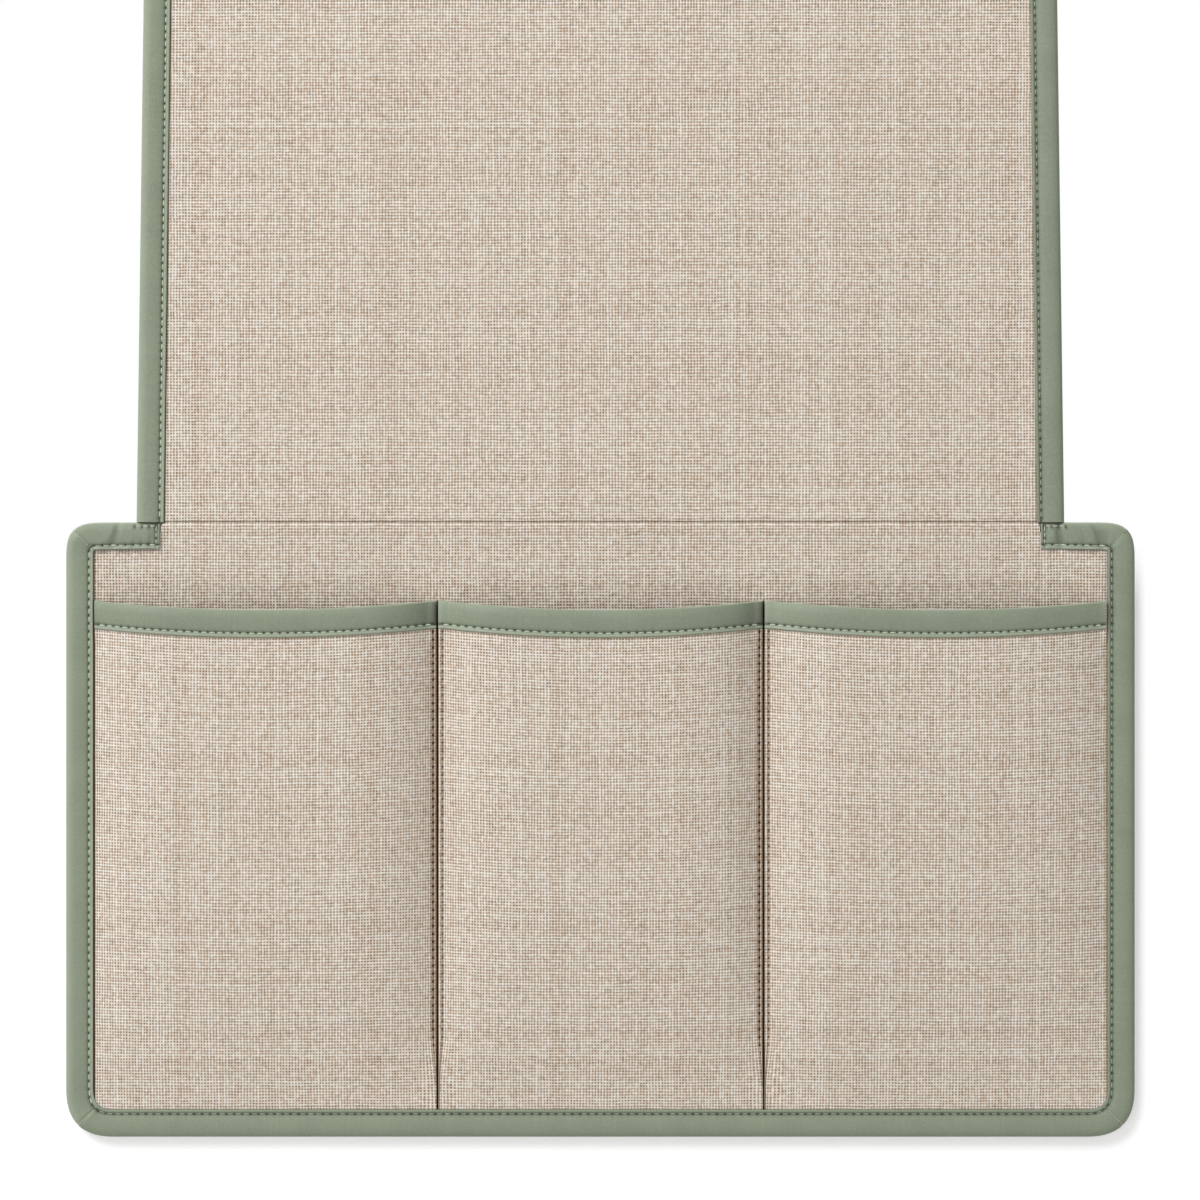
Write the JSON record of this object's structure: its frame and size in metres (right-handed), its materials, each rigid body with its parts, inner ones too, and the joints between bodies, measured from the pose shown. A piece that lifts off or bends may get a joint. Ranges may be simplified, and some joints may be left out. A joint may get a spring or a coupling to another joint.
{
  "type": "bedside caddy",
  "caption": "Bedside caddy: a bound linen flap that tucks under a mattress, folded to a bound hanging panel with patch pockets in a row.",
  "frame": {"origin": "middle of the flap's back face, where the flap lies on the bed base", "axes": "+X to the right as seen from the pockets' side, +Y backwards, away from the pockets, +Z from the panel towards the flap's far end"},
  "size_m": [0.44, 0.0157, 0.5533],
  "materials": {
    "linen_cloth": "plain-weave linen look, cream threads over tan",
    "binding_tape": "smooth matte sage-green leatherette tape",
    "stiffener_board": "thin flexible board"
  },
  "bodies": {
    "flap": {"flap_back_cloth": "linen_cloth", "flap_stiffener": "stiffener_board", "flap_front_cloth": "linen_cloth", "flap_binding_left": "binding_tape", "flap_binding_right": "binding_tape", "flap_binding_end": "binding_tape"},
    "pocket_panel": {"panel_back_cloth": "linen_cloth", "panel_stiffener": "stiffener_board", "panel_front_cloth": "linen_cloth", "panel_binding_left": "binding_tape", "panel_binding_right": "binding_tape", "panel_binding_bottom": "binding_tape", "shoulder_binding_left": "binding_tape", "shoulder_binding_right": "binding_tape", "pocket_left": "linen_cloth", "pocket_middle": "linen_cloth", "pocket_right": "linen_cloth", "rim_tape_left": "binding_tape", "rim_tape_middle": "binding_tape", "rim_tape_right": "binding_tape"}
  },
  "joints": [
    {"name": "flap_fold", "type": "hinge", "parent": "flap", "child": "pocket_panel", "pos_m": [0, 0.00075, -0.15015], "axis": [1, 0, 0], "range_deg": [0, 175]}
  ]
}
